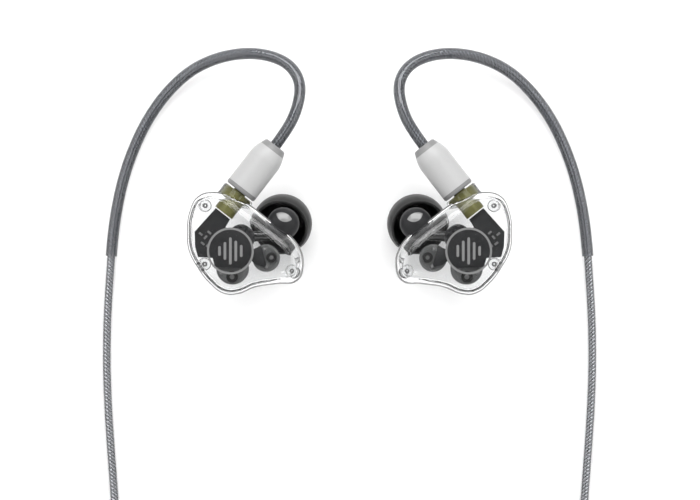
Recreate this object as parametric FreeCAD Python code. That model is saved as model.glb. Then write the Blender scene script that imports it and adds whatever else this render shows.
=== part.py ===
"""A pair of in-ear monitors: clear shells with three drivers each, silicone tips, plug-in cable.

Millimetres, +Z up. The pair lies on a table (z = 0), face plates up, tips down, laid out as a
mirror pair about X = 0. The origin is on the table, under the middle of the box round both
earpieces and their ear guides. The left earpiece is modelled and the right one is its mirror.
"""
import FreeCAD
import Part
import math
import os

V = FreeCAD.Vector

# ---- layout ----------------------------------------------------------------------------------
EMBLEM_X = 25.2            # centre of each emblem from the middle plane
EMBLEM_Y = -16.7
CONNECTOR_Z = 14.0         # height of the connector axis above the table
CONNECTOR_LEAN = 37.7      # degrees the connector axis leans inwards from +Y

# ---- shell -----------------------------------------------------------------------------------
SHELL_BOTTOM = 9.5
PARTING_Z = 16.5
FACE_Z = 19.5
WALL = 0.8
PARTING_STEP = 0.3         # how far the parting line stands inside the widest outline
WAIST_Z = 14.2             # height of the widest outline
# plan outline of the shell at its widest, round the emblem's centre
SHELL_OUTLINE = [(-9.2, 3.2), (-8.7, 8.2), (-6.9, 11.7), (-3.0, 12.6), (1.4, 11.4), (4.6, 9.5),
                 (8.4, 6.6), (12.0, 4.0), (14.5, 1.0), (15.3, -2.8), (13.6, -6.2), (9.6, -6.9),
                 (5.2, -7.8), (1.6, -9.2), (-1.4, -9.2), (-4.8, -6.7), (-7.4, -3.2), (-8.9, 0.0)]
# the flat of the face plate, point for point inside the outline above
FACE_OUTLINE = [(-7.6, 3.2), (-7.3, 7.4), (-5.9, 10.1), (-3.0, 10.9), (-0.4, 9.6), (1.8, 7.3),
                (4.8, 4.9), (8.0, 2.3), (11.6, 0.2), (13.6, -2.6), (12.5, -4.8), (9.2, -5.4),
                (4.8, -6.3), (1.3, -7.7), (-1.2, -7.6), (-3.8, -5.6), (-6.1, -2.6), (-7.3, 0.3)]
BOSS_PLACES = [(-5.4, 8.7), (-5.5, -3.0), (12.4, -3.6)]
BOSS_RADIUS = 1.25
PIN_RADIUS = 0.55
PIN_CLEARANCE = 0.05
PIN_LENGTH = 4.2

# ---- nozzle and ear tip ----------------------------------------------------------------------
NOZZLE_END = V(11.5, 7.4, 1.62)     # centre of the nozzle's open end, from the emblem's centre
NOZZLE_WAY = V(0.14, 0.30, -0.944)  # the way the nozzle points
NOZZLE_RADIUS = 2.2
NOZZLE_NECK_RADIUS = 2.0            # in the groove behind the end lip
NOZZLE_LIP = 0.9
NOZZLE_GROOVE = 2.0
NOZZLE_LENGTH = 7.1
NOZZLE_BORE = 1.35
CONE_LENGTH = 5.2
CONE_RADIUS = 3.6
CONE_TIP_RADIUS = 2.9
TIP_CLEARANCE = 0.05
TIP_LENGTH = 8.9
TIP_RIM_RADIUS = 5.95
TIP_WIDEST = 6.42
TIP_WALL = 0.7
TIP_CORE_WALL = 0.75
TIP_HOLE = 1.8
SCREEN_THICKNESS = 0.3

# ---- drivers and crossover -------------------------------------------------------------------
DRIVER_FLOOR = 11.8
DRIVER_TOP = 14.4
LOW_DRIVER = (0.3, -3.7, 3.45)      # x, y, radius
MID_DRIVER = (7.45, -1.5, 2.95)
HIGH_DRIVER = (2.2, 2.85, 2.85)
HUB_HEIGHT = 0.6
LOW_HUB = (0.25, -5.5, 1.25)
MID_HUB = (8.6, -1.4, 1.1)
BOARD_BOTTOM = 14.6
BOARD_THICKNESS = 0.5
BOARD_OUTLINE = [(-3.2, 9.1), (-7.7, 4.1), (-7.6, 0.9), (-7.0, -1.3), (-3.9, -1.5), (-3.4, -3.4),
                 (2.4, -3.6), (4.3, -2.4), (4.6, 1.0), (2.6, 3.9), (-1.2, 5.0), (-0.2, 6.7)]
CHIP_SPOTS = [(-6.4, 3.6), (-5.4, 2.9), (-6.0, 1.6), (-4.9, 1.2), (-4.6, 3.9)]
CHIP_SIZE = (0.9, 0.45, 0.35)
STRIP_SIZE = (1.5, 4.6)             # the mid driver's terminal strip
SOLDER_SPOTS = [(-2.0, -4.6), (2.1, -4.0), (7.2, 0.35), (7.6, -3.3)]
SOLDER_RADIUS = 0.45
SOUND_TUBE_RADIUS = 1.2
SOUND_TUBE_BORE = 0.75
TUBE_CLEARANCE = 0.08

# ---- emblem ----------------------------------------------------------------------------------
EMBLEM_RADIUS = 4.95
EMBLEM_LINE = 0.43
EMBLEM_HEIGHT = 0.12
BAR_WIDTH = 0.55
BAR_PITCH = 1.15
BAR_LENGTHS = [1.5, 3.2, 5.2, 3.8, 2.0]

# ---- connector, measured along its axis from the mouth of the socket, outwards ----------------
NECK_RADIUS = 3.7
NECK_DEPTH = 3.6
MOUTH = V(1.73, 12.38, CONNECTOR_Z)  # centre of the socket's mouth, from the emblem's centre
SOCKET_RADIUS = 2.25
SOCKET_LENGTH = 5.4
SOCKET_BORE = 1.5
SOCKET_DEPTH = 5.0
PLUG_CLEARANCE = 0.05
PLUG_REACH = 3.0
PLUG_BARREL_WALL = 0.35
PLUG_FLANGE_RADIUS = 2.3
PLUG_FLANGE_LENGTH = 4.6
PIN_CONTACT_RADIUS = 0.3
CONTACT_WALL = 0.2
SNAP_GROOVE_DEPTH = 0.25
SNAP_GROOVE_AT = 2.2
SNAP_RING_WIDTH = 0.4
SLEEVE_GAP = 0.3
SLEEVE_RADIUS = 3.6
SLEEVE_LENGTH = 12.4
SLEEVE_STRAIGHT = 8.6
SLEEVE_TOP_RADIUS = 2.5
COLLAR_LENGTH = 1.3
COLLAR_RADIUS = 2.95
GUIDE_SEAT = 3.0

# ---- cable -----------------------------------------------------------------------------------
CABLE = 1.77               # diameter of each branch
GUIDE_CLEARANCE = 0.05
GUIDE_WALL = 0.24
GUIDE = CABLE + 2 * (GUIDE_CLEARANCE + GUIDE_WALL)
TRUNK = 2.35
# left branch, from the sleeve's top to its coil (the right one is its mirror)
BRANCH_ROUTE = [(-13.2, 9.0, 14.0), (-10.95, 14.0, 13.4), (-10.3, 19.2, 11.8),
                (-12.8, 23.3, 9.8), (-17.6, 25.4, 7.8), (-23.2, 25.8, 6.0), (-29.0, 24.7, 4.4),
                (-34.6, 22.0, 3.1), (-39.6, 17.3, 2.2), (-43.7, 11.5, 1.6), (-46.7, 5.2, 1.25),
                (-48.8, -1.0, 1.18), (-50.2, -7.3, 1.18), (-51.1, -13.6, 1.18),
                (-51.7, -21.6, 0.98), (-52.3, -31.0, 0.9), (-52.45, -41.0, 0.9),
                (-52.1, -51.0, 0.9), (-51.4, -61.0, 0.9), (-50.6, -71.5, 0.9)]
GUIDE_POINTS = 14          # the guide ends half way along the run after this point
BRANCH_COIL = V(-39.6, -82.5, 0)
BRANCH_COIL_RADIUS = 9.75
BRANCH_COLUMNS = 2
BRANCH_LAYERS = 2
BRANCH_LOWER_ROUTE = [(-32.6, -93.6, 2.0), (-25.5, -93.0, 1.1), (-17.6, -92.2, 0.9),
                      (-9.8, -92.6, 0.95), (-4.5, -96.2, 1.3), (-2.0, -101.8, 1.8),
                      (-1.4, -108.6, 2.0), (-1.3, -116.8, 2.0)]
BRANCH_SPACING = 2.7
SPLITTER_TOP = -123.0
SPLITTER_LENGTH = 14.0
SPLITTER_WIDTH = 7.6
SPLITTER_TAIL_WIDTH = 4.6
SPLITTER_HEIGHT = 4.0
SPLITTER_SEAT = 2.0
SLIDER_LENGTH = 7.0
SLIDER_WIDTH = 7.0
SLIDER_GAP = 1.0
SLIDER_CLEARANCE = 0.2
TRUNK_ROUTE = [(-0.1, -141.6, 2.0), (0.1, -148.2, 1.8)]
TRUNK_COIL = V(15.85, -156.0, 0)
TRUNK_COIL_RADIUS = 13.5
TRUNK_COLUMNS = 3
TRUNK_LAYERS = 4
TIE_THICKNESS = 0.5
TIE_WIDTH = 4.0
TIE_CLEARANCE = 0.3
PLUG_END_ROUTE = [(31.8, -150.6, 8.2), (31.9, -145.6, 6.8), (31.9, -139.5, 4.9), (31.9, -130.0, 3.9),
                  (31.9, -119.0, 3.8), (33.9, -113.0, 3.8), (38.95, -110.9, 3.8), (44.0, -113.0, 3.8)]

# ---- headphone plug, lying along -Y -----------------------------------------------------------
JACK_X = 46.0
JACK_START = -118.0        # where the strain relief begins
RELIEF_LENGTH = 9.0
RELIEF_RADII = (1.7, 2.7)
HANDLE_LENGTH = 15.0
HANDLE_RADIUS = 3.8
JACK_RADIUS = 1.75
JACK_SLEEVE_LENGTH = 7.8
JACK_GAP = 0.6
JACK_RING_LENGTH = 1.6
JACK_TIP_LENGTH = 3.4
JACK_CORE_RADIUS = 0.8

UP = V(0, 0, 1)
LEAN = math.radians(CONNECTOR_LEAN)
AXIS = V(math.sin(LEAN), math.cos(LEAN), 0)
EMBLEM_CENTRE = V(-EMBLEM_X, EMBLEM_Y, 0)


# ---- helpers ---------------------------------------------------------------------------------
def flat(points, z):
    """Plan points as vectors at height z."""
    return [V(x, y, z) for x, y in points]


def inset_points(points, inset):
    """Plan points of a clockwise loop, moved inwards along their normals."""
    moved = []
    for before, here, after in zip(points[-1:] + points[:-1], points, points[1:] + points[:1]):
        along = V(after[0] - before[0], after[1] - before[1], 0).normalize()
        moved.append((here[0] + along.y * inset, here[1] - along.x * inset))
    return moved


def smooth_loop(points, z, inset=0.0):
    """A closed smooth wire through plan points, its speed even round the loop."""
    places = flat(inset_points(points, inset), z)
    curve = Part.BSplineCurve()
    curve.interpolate(Points=places, PeriodicFlag=True, Parameters=list(range(len(places) + 1)))
    return Part.Wire([curve.toShape()])


def blend(a, b, share):
    """Plan points part of the way from one outline to another."""
    return [(p[0] + (q[0] - p[0]) * share, p[1] + (q[1] - p[1]) * share) for p, q in zip(a, b)]


def loft(wires):
    """A closed solid through level wires, straight from each to the next."""
    return Part.makeLoft(wires, True, True)


def slab(points, z, height):
    """A flat plate with straight sides."""
    corners = flat(points, z)
    face = Part.Face(Part.makePolygon(corners + corners[:1]))
    return face.extrude(UP * height)


def rod(radius, start, end, centre=(0.0, 0.0), bore=0.0):
    """A cylinder or a tube along Z between two heights."""
    at = V(centre[0], centre[1], start)
    body = Part.makeCylinder(radius, end - start, at)
    if bore:
        body = body.cut(Part.makeCylinder(bore, end - start, at))
    return body


def turned(profile):
    """A closed profile of (radius, height) corners turned round Z."""
    corners = [V(r, 0, z) for r, z in profile]
    face = Part.Face(Part.makePolygon(corners + corners[:1]))
    return face.revolve(V(0, 0, 0), UP, 360)


def stand_along(shape, point, way):
    """Move a shape made along Z so that its Z runs along a new direction from a point."""
    moved = shape.copy()
    moved.Placement = FreeCAD.Placement(point, FreeCAD.Rotation(UP, way))
    return moved


def route_wire(points, label):
    """Straight runs joined by tangent arcs as large as the runs allow."""
    points = [V(*p) for p in points]
    edges = []
    radii = []
    here = points[0]
    for before, corner, after in zip(points, points[1:], points[2:]):
        back = before - corner
        ahead = after - corner
        cut = 0.45 * min(back.Length, ahead.Length)
        back.normalize()
        ahead.normalize()
        half_turn = (math.pi - back.getAngle(ahead)) / 2
        radius = cut / math.tan(half_turn)
        middle = (back + ahead).normalize()
        bend_centre = corner + middle * (radius / math.cos(half_turn))
        first = corner + back * cut
        last = corner + ahead * cut
        edges.append(Part.LineSegment(here, first).toShape())
        edges.append(Part.Arc(first, bend_centre - middle * radius, last).toShape())
        radii.append(round(radius, 1))
        here = last
    edges.append(Part.LineSegment(here, points[-1]).toShape())
    wire = Part.Wire(edges)
    print(label, "length", round(wire.Length, 1), "radii", radii)
    return wire


def route_tube(points, radius, label, bore=0.0):
    """A tube along a route, compared with its section times its length."""
    wire = route_wire(points, label)
    way = V(*points[1]) - V(*points[0])
    ring = Part.Wire([Part.makeCircle(radius, V(*points[0]), way)])
    tube = wire.makePipeShell([ring], True, False)
    if bore:
        hole = Part.Wire([Part.makeCircle(bore, V(*points[0]), way)])
        tube = tube.cut(wire.makePipeShell([hole], True, False))
    expected = math.pi * (radius ** 2 - bore ** 2) * wire.Length
    print(label, "volume", round(tube.Volume, 2), "expected", round(expected, 2))
    return tube


def coil_solid(centre, middle_radius, diameter, columns, layers, floor):
    """The outer shape of a neat round coil."""
    half = columns * diameter / 2
    top = floor + layers * diameter
    return rod(middle_radius + half, floor, top, (centre.x, centre.y), middle_radius - half)


def coil_edge(middle_radius, diameter, columns):
    """Radius of the coil's outermost turn."""
    return middle_radius + (columns - 1) * diameter / 2


def tie_band(centre, middle_radius, diameter, columns, layers, angle):
    """A strap round the section of a coil, at an angle round it."""
    inner_x = columns * diameter / 2 + TIE_CLEARANCE
    top = TIE_THICKNESS + layers * diameter
    outer_x = inner_x + TIE_THICKNESS
    outer = Part.makeBox(2 * outer_x, TIE_WIDTH, top + TIE_THICKNESS, V(-outer_x, -TIE_WIDTH / 2, 0))
    hole = Part.makeBox(2 * inner_x, TIE_WIDTH, top - TIE_THICKNESS,
                        V(-inner_x, -TIE_WIDTH / 2, TIE_THICKNESS))
    band = outer.cut(hole)
    band.translate(V(middle_radius, 0, 0))
    band.rotate(V(0, 0, 0), UP, angle)
    band.translate(centre)
    return band


def plain(vector):
    return (vector.x, vector.y, vector.z)


# ---- one earpiece, round the emblem's centre --------------------------------------------------
def inner_shell():
    """The ear-side shell with its nozzle and its connector neck."""
    def form(extra, floor, top):
        levels = [(top, PARTING_STEP), (WAIST_Z, 0.0), (11.9, 0.6), (10.5, 1.6), (floor, 3.0)]
        return loft([smooth_loop(SHELL_OUTLINE, z, inset + extra) for z, inset in levels])

    outside = form(0.0, SHELL_BOTTOM, PARTING_Z)
    neck = stand_along(rod(NECK_RADIUS, -NECK_DEPTH, 0), MOUTH, AXIS)
    nozzle = turned([(0, -NOZZLE_LENGTH - CONE_LENGTH), (CONE_RADIUS, -NOZZLE_LENGTH - CONE_LENGTH),
                     (CONE_TIP_RADIUS, -NOZZLE_LENGTH), (NOZZLE_RADIUS, -NOZZLE_LENGTH),
                     (NOZZLE_RADIUS, -NOZZLE_LIP - NOZZLE_GROOVE),
                     (NOZZLE_NECK_RADIUS, -NOZZLE_LIP - NOZZLE_GROOVE),
                     (NOZZLE_NECK_RADIUS, -NOZZLE_LIP), (NOZZLE_RADIUS, -NOZZLE_LIP),
                     (NOZZLE_RADIUS, 0), (0, 0)])
    nozzle = stand_along(nozzle, NOZZLE_END, NOZZLE_WAY)
    shell = outside.fuse([neck, nozzle])
    cavity = form(WALL, SHELL_BOTTOM + WALL, PARTING_Z)
    shell = shell.cut(cavity)
    bosses = [rod(BOSS_RADIUS, SHELL_BOTTOM + WALL, PARTING_Z, place) for place in BOSS_PLACES]
    shell = shell.fuse([boss.common(outside) for boss in bosses])
    hole_radius = PIN_RADIUS + PIN_CLEARANCE
    holes = [rod(hole_radius, PARTING_Z - PIN_LENGTH / 2 - PIN_CLEARANCE, PARTING_Z, place)
             for place in BOSS_PLACES]
    bore = rod(NOZZLE_BORE, -NOZZLE_LENGTH - CONE_LENGTH - 1, 1)
    holes.append(stand_along(bore, NOZZLE_END, NOZZLE_WAY))
    holes.append(stand_along(rod(SOCKET_RADIUS, -SOCKET_LENGTH, 1), MOUTH, AXIS))
    holes.append(route_tube(sound_route(), SOUND_TUBE_RADIUS + TUBE_CLEARANCE, "sound channel"))
    return shell.cut(holes).removeSplitter()


def outer_cover():
    """The face-side shell, cut away round the connector neck."""
    middle = blend(SHELL_OUTLINE, FACE_OUTLINE, 0.3)

    def form(extra, top):
        return loft([smooth_loop(SHELL_OUTLINE, PARTING_Z, PARTING_STEP + extra),
                     smooth_loop(middle, 0.55 * top + 0.45 * PARTING_Z, extra),
                     smooth_loop(FACE_OUTLINE, top, extra)])

    outside = form(0.0, FACE_Z)
    cover = outside.cut(form(WALL, FACE_Z - WALL))
    bosses = [rod(BOSS_RADIUS, PARTING_Z, FACE_Z, place).common(outside) for place in BOSS_PLACES]
    cover = cover.fuse(bosses)
    hole_radius = PIN_RADIUS + PIN_CLEARANCE
    holes = [rod(hole_radius, PARTING_Z, PARTING_Z + PIN_LENGTH / 2 + PIN_CLEARANCE, place)
             for place in BOSS_PLACES]
    holes.append(stand_along(rod(NECK_RADIUS, -NECK_DEPTH - 2, 3), MOUTH, AXIS))
    return cover.cut(holes).removeSplitter()


def shell_pins():
    return [rod(PIN_RADIUS, PARTING_Z - PIN_LENGTH / 2, PARTING_Z + PIN_LENGTH / 2, place)
            for place in BOSS_PLACES]


def emblem():
    """A plain ring round five sound-level bars."""
    pieces = [rod(EMBLEM_RADIUS, FACE_Z, FACE_Z + EMBLEM_HEIGHT, bore=EMBLEM_RADIUS - EMBLEM_LINE)]
    first = -BAR_PITCH * (len(BAR_LENGTHS) - 1) / 2
    for index, length in enumerate(BAR_LENGTHS):
        x = first + index * BAR_PITCH
        bar = Part.makeBox(BAR_WIDTH, length, EMBLEM_HEIGHT, V(x - BAR_WIDTH / 2, -length / 2, FACE_Z))
        ends = [rod(BAR_WIDTH / 2, FACE_Z, FACE_Z + EMBLEM_HEIGHT, (x, y))
                for y in (-length / 2, length / 2)]
        pieces.append(bar.fuse(ends).removeSplitter())
    return pieces


def driver(spot):
    x, y, radius = spot
    return rod(radius, DRIVER_FLOOR, DRIVER_TOP, (x, y))


def hub(spot, top):
    x, y, radius = spot
    return rod(radius, DRIVER_TOP, DRIVER_TOP + top, (x, y))


def mid_driver_body():
    """The mid driver with its hub and its terminal strip."""
    x, y, radius = MID_DRIVER
    strip = Part.makeBox(STRIP_SIZE[0], STRIP_SIZE[1], HUB_HEIGHT,
                         V(x - 1.0 - STRIP_SIZE[0] / 2, y - STRIP_SIZE[1] / 2, DRIVER_TOP))
    return driver(MID_DRIVER).fuse([hub(MID_HUB, HUB_HEIGHT), strip]).removeSplitter()


def board_parts():
    """Chips on the board and solder domes on the drivers' terminals."""
    top = BOARD_BOTTOM + BOARD_THICKNESS
    length, width, height = CHIP_SIZE
    pieces = []
    for index, (x, y) in enumerate(CHIP_SPOTS):
        chip = Part.makeBox(length, width, height, V(-length / 2, -width / 2, top))
        chip.rotate(V(0, 0, 0), UP, 50 if index % 2 else -40)
        chip.translate(V(x, y, 0))
        pieces.append(chip)
    for x, y in SOLDER_SPOTS:
        on_strip = x > MID_DRIVER[0] - MID_DRIVER[2]
        base = DRIVER_TOP + (HUB_HEIGHT if on_strip and x < MID_DRIVER[0] - 0.2 else 0)
        dome = Part.makeSphere(SOLDER_RADIUS, V(x, y, base), UP, 0, 90, 360)
        pieces.append(dome)
    return pieces


def sound_route():
    """The line from the high driver across to the nozzle and down into its bore."""
    way = V(NOZZLE_WAY).normalize()
    bend = NOZZLE_END - way * (NOZZLE_LENGTH + CONE_LENGTH - 0.2)
    x, y, radius = HIGH_DRIVER
    start = V(x, y, bend.z)
    towards = (bend - start).normalize()
    return [plain(start + towards * (radius - 1.0)), plain(bend), plain(bend + way * 5.0)]


def sound_tube():
    """The tube that carries sound from the high driver to the nozzle."""
    tube = route_tube(sound_route(), SOUND_TUBE_RADIUS, "sound tube", SOUND_TUBE_BORE)
    return tube.cut(driver(HIGH_DRIVER))


def ear_tip():
    """A silicone dome on a core that grips the nozzle; its skirt opens towards the shell."""
    bore = NOZZLE_RADIUS + TIP_CLEARANCE
    core = bore + TIP_CORE_WALL
    top = 0.9
    rim = top - TIP_LENGTH
    wide = TIP_WIDEST

    def curve(points):
        spline = Part.BSplineCurve()
        spline.interpolate(Points=[V(r, 0, z) for r, z in points])
        return spline.toShape()

    def line(a, b):
        return Part.LineSegment(V(a[0], 0, a[1]), V(b[0], 0, b[1])).toShape()

    dome = [(TIP_RIM_RADIUS, rim), (wide, rim + 2.4), (wide - 0.35, rim + 4.8),
            (wide - 1.6, rim + 7.1), (wide - 3.3, rim + 8.55), (TIP_HOLE, top)]
    inside = [(TIP_RIM_RADIUS - TIP_WALL, rim), (wide - TIP_WALL, rim + 2.4),
              (wide - 0.4 - TIP_WALL, rim + 4.5), (wide - 1.75 - TIP_WALL, rim + 6.4),
              (core, rim + 7.1)]
    core_end = 0.3 - NOZZLE_LENGTH
    edges = [curve(dome), line((TIP_HOLE, top), (TIP_HOLE, TIP_CLEARANCE)),
             line((TIP_HOLE, TIP_CLEARANCE), (bore, TIP_CLEARANCE)),
             line((bore, TIP_CLEARANCE), (bore, core_end)), line((bore, core_end), (core, core_end)),
             line((core, core_end), (core, rim + 7.1)), curve(inside[::-1]),
             line((TIP_RIM_RADIUS - TIP_WALL, rim), (TIP_RIM_RADIUS, rim))]
    tip = Part.Face(Part.Wire(edges)).revolve(V(0, 0, 0), UP, 360)
    return stand_along(tip, NOZZLE_END, NOZZLE_WAY)


def socket_pieces():
    """The socket in the shell: its metal body, insulator and middle contact."""
    contact_bore = PIN_CONTACT_RADIUS + PLUG_CLEARANCE
    contact_radius = contact_bore + CONTACT_WALL
    body = rod(SOCKET_RADIUS, -SOCKET_LENGTH, 0)
    body = body.cut([rod(SOCKET_BORE, -SOCKET_DEPTH, 1),
                     rod(contact_radius, -SOCKET_LENGTH - 1, 0)])
    insulator = rod(SOCKET_BORE, -SOCKET_DEPTH, -PLUG_REACH - SLEEVE_GAP, bore=contact_radius)
    contact = rod(contact_radius, -SOCKET_LENGTH, -1.6)
    contact = contact.cut(rod(contact_bore, -SOCKET_DEPTH, -1.6))
    return body, insulator, contact


def plug_pieces():
    """The plug on the cable: sleeve, end collar, barrel, insulator, pin and snap ring."""
    barrel_radius = SOCKET_BORE - PLUG_CLEARANCE
    inner = barrel_radius - PLUG_BARREL_WALL
    flange_start = SLEEVE_GAP + 0.2
    flange_end = flange_start + PLUG_FLANGE_LENGTH
    groove_floor = barrel_radius - SNAP_GROOVE_DEPTH
    barrel = rod(barrel_radius, -PLUG_REACH, flange_end).fuse(
        rod(PLUG_FLANGE_RADIUS, flange_start, flange_end))
    groove = rod(barrel_radius + 1, -SNAP_GROOVE_AT - 0.3, -SNAP_GROOVE_AT + 0.3, bore=groove_floor)
    barrel = barrel.cut([groove, rod(inner - 0.1, -PLUG_REACH, flange_end)]).removeSplitter()
    insulator = rod(inner - 0.1, -1.4, flange_end, bore=PIN_CONTACT_RADIUS)
    pin = rod(PIN_CONTACT_RADIUS, -2.7, flange_end)
    ring = rod(barrel_radius - 0.01, -SNAP_GROOVE_AT - SNAP_RING_WIDTH / 2,
               -SNAP_GROOVE_AT + SNAP_RING_WIDTH / 2, bore=groove_floor + 0.02)
    ring = ring.cut(Part.makeBox(2, 0.7, 2, V(0, -0.35, -SNAP_GROOVE_AT - 1)))
    end = SLEEVE_GAP + SLEEVE_LENGTH
    collar_start = end - COLLAR_LENGTH
    seat = end - GUIDE_SEAT
    guide_radius = GUIDE / 2
    shoulder = SLEEVE_GAP + SLEEVE_STRAIGHT
    arc_middle = ((SLEEVE_RADIUS + COLLAR_RADIUS) / 2 + 0.13, (shoulder + collar_start) / 2)
    profile = [V(SLEEVE_RADIUS - 0.25, 0, SLEEVE_GAP), V(SLEEVE_RADIUS, 0, SLEEVE_GAP + 0.3),
               V(SLEEVE_RADIUS, 0, shoulder)]
    edges = [Part.makePolygon(profile).Edges[0], Part.makePolygon(profile).Edges[1]]
    taper = Part.Arc(V(SLEEVE_RADIUS, 0, shoulder), V(arc_middle[0], 0, arc_middle[1]),
                     V(COLLAR_RADIUS, 0, collar_start))
    edges.append(taper.toShape())
    closing = [V(COLLAR_RADIUS, 0, collar_start), V(guide_radius, 0, collar_start),
               V(guide_radius, 0, seat), V(0, 0, seat), V(0, 0, flange_end),
               V(PLUG_FLANGE_RADIUS, 0, flange_end), V(PLUG_FLANGE_RADIUS, 0, SLEEVE_GAP),
               V(SLEEVE_RADIUS - 0.25, 0, SLEEVE_GAP)]
    edges += Part.makePolygon(closing).Edges
    sleeve = Part.Face(Part.Wire(edges)).revolve(V(0, 0, 0), UP, 360)
    collar = turned([(COLLAR_RADIUS, collar_start), (SLEEVE_TOP_RADIUS, end - 0.2),
                     (SLEEVE_TOP_RADIUS - 0.3, end), (guide_radius, end), (guide_radius, collar_start)])
    return sleeve, collar, barrel, insulator, pin, ring


def earpiece():
    """Every piece of one earpiece and its plug, in the pair's frame, as a name-to-shape list."""
    body, socket_insulator, contact = socket_pieces()
    sleeve, collar, barrel, plug_insulator, pin, snap_ring = plug_pieces()
    on_axis = {
        "socket_body": body, "socket_insulator": socket_insulator, "socket_contact": contact,
        "plug_sleeve": sleeve, "sleeve_collar": collar, "plug_barrel": barrel,
        "plug_insulator": plug_insulator, "plug_pin": pin, "snap_ring": snap_ring,
    }
    pieces = {name: [stand_along(shape, MOUTH, AXIS)] for name, shape in on_axis.items()}
    pieces["inner_shell"] = [inner_shell()]
    pieces["outer_cover"] = [outer_cover()]
    pieces["shell_pins"] = shell_pins()
    pieces["emblem"] = emblem()
    pieces["crossover_board"] = [slab(BOARD_OUTLINE, BOARD_BOTTOM, BOARD_THICKNESS)]
    pieces["board_components"] = board_parts()
    pieces["low_driver"] = [driver(LOW_DRIVER).fuse(hub(LOW_HUB, HUB_HEIGHT)).removeSplitter()]
    pieces["mid_driver"] = [mid_driver_body()]
    pieces["high_driver"] = [driver(HIGH_DRIVER)]
    pieces["sound_tube"] = [sound_tube()]
    screen = rod(NOZZLE_BORE, -0.1 - SCREEN_THICKNESS, -0.1)
    pieces["nozzle_screen"] = [stand_along(screen, NOZZLE_END, NOZZLE_WAY)]
    pieces["ear_tip"] = [ear_tip()]
    for shapes in pieces.values():
        for shape in shapes:
            shape.translate(EMBLEM_CENTRE)
    return pieces


# ---- cable -----------------------------------------------------------------------------------
def branch_pieces():
    """The left branch: its ear guide, its two free stretches and its coil."""
    mouth = MOUTH + EMBLEM_CENTRE
    start = mouth + AXIS * (SLEEVE_GAP + SLEEVE_LENGTH - GUIDE_SEAT)
    route = [plain(start)] + BRANCH_ROUTE
    here = V(*BRANCH_ROUTE[GUIDE_POINTS - 1])
    after = V(*BRANCH_ROUTE[GUIDE_POINTS])
    guide_route = route[:GUIDE_POINTS + 1] + [plain((here + after) * 0.5)]
    guide = route_tube(guide_route, GUIDE / 2, "ear guide", CABLE / 2 + GUIDE_CLEARANCE)
    edge = coil_edge(BRANCH_COIL_RADIUS, CABLE, BRANCH_COLUMNS)
    entry = (BRANCH_COIL.x - edge, BRANCH_COIL.y, TIE_THICKNESS + CABLE / 2)
    upper = route_tube(route + [entry], CABLE / 2, "branch cable")
    leave = (BRANCH_COIL.x, BRANCH_COIL.y - edge, TIE_THICKNESS + CABLE * 1.5)
    into_splitter = (-BRANCH_SPACING / 2, SPLITTER_TOP - SPLITTER_SEAT, SPLITTER_HEIGHT / 2)
    lower = route_tube([leave] + BRANCH_LOWER_ROUTE + [into_splitter], CABLE / 2, "branch to splitter")
    coil = coil_solid(BRANCH_COIL, BRANCH_COIL_RADIUS, CABLE, BRANCH_COLUMNS, BRANCH_LAYERS,
                      TIE_THICKNESS)
    return {"ear_guide": [guide], "branch_cable": [upper, lower], "branch_coil": [coil]}


def round_bar(width, height, start, length, tail_width=None):
    """A bar along +Y with half-round sides, lying on the table, narrower at its far end if asked."""
    sections = []
    for y, wide in ((start, tail_width or width), (start + length, width)):
        reach = wide / 2 - height / 2
        left = V(-reach, y, 0)
        right = V(reach, y, 0)
        top_left = V(-reach, y, height)
        top_right = V(reach, y, height)
        sections.append(Part.Wire([
            Part.LineSegment(left, right).toShape(),
            Part.Arc(right, V(wide / 2, y, height / 2), top_right).toShape(),
            Part.LineSegment(top_right, top_left).toShape(),
            Part.Arc(top_left, V(-wide / 2, y, height / 2), left).toShape()]))
    return Part.makeLoft(sections, True, True)


def bore_along_y(radius, x, z, start, length):
    return Part.makeCylinder(radius, length, V(x, start, z), V(0, 1, 0))


def splitter():
    bar = round_bar(SPLITTER_WIDTH, SPLITTER_HEIGHT, SPLITTER_TOP - SPLITTER_LENGTH, SPLITTER_LENGTH,
                    SPLITTER_TAIL_WIDTH)
    middle = SPLITTER_HEIGHT / 2
    seats = [bore_along_y(CABLE / 2, side * BRANCH_SPACING / 2, middle, SPLITTER_TOP - SPLITTER_SEAT,
                          SPLITTER_SEAT + 1) for side in (-1, 1)]
    seats.append(bore_along_y(TRUNK / 2, 0, middle, SPLITTER_TOP - SPLITTER_LENGTH - 1,
                              SPLITTER_SEAT + 1))
    return bar.cut(seats)


def chin_slider():
    start = SPLITTER_TOP + SLIDER_GAP
    bar = round_bar(SLIDER_WIDTH, SPLITTER_HEIGHT, start, SLIDER_LENGTH)
    holes = [bore_along_y(CABLE / 2 + SLIDER_CLEARANCE, side * BRANCH_SPACING / 2, SPLITTER_HEIGHT / 2,
                          start - 1, SLIDER_LENGTH + 2) for side in (-1, 1)]
    return bar.cut(holes)


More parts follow.
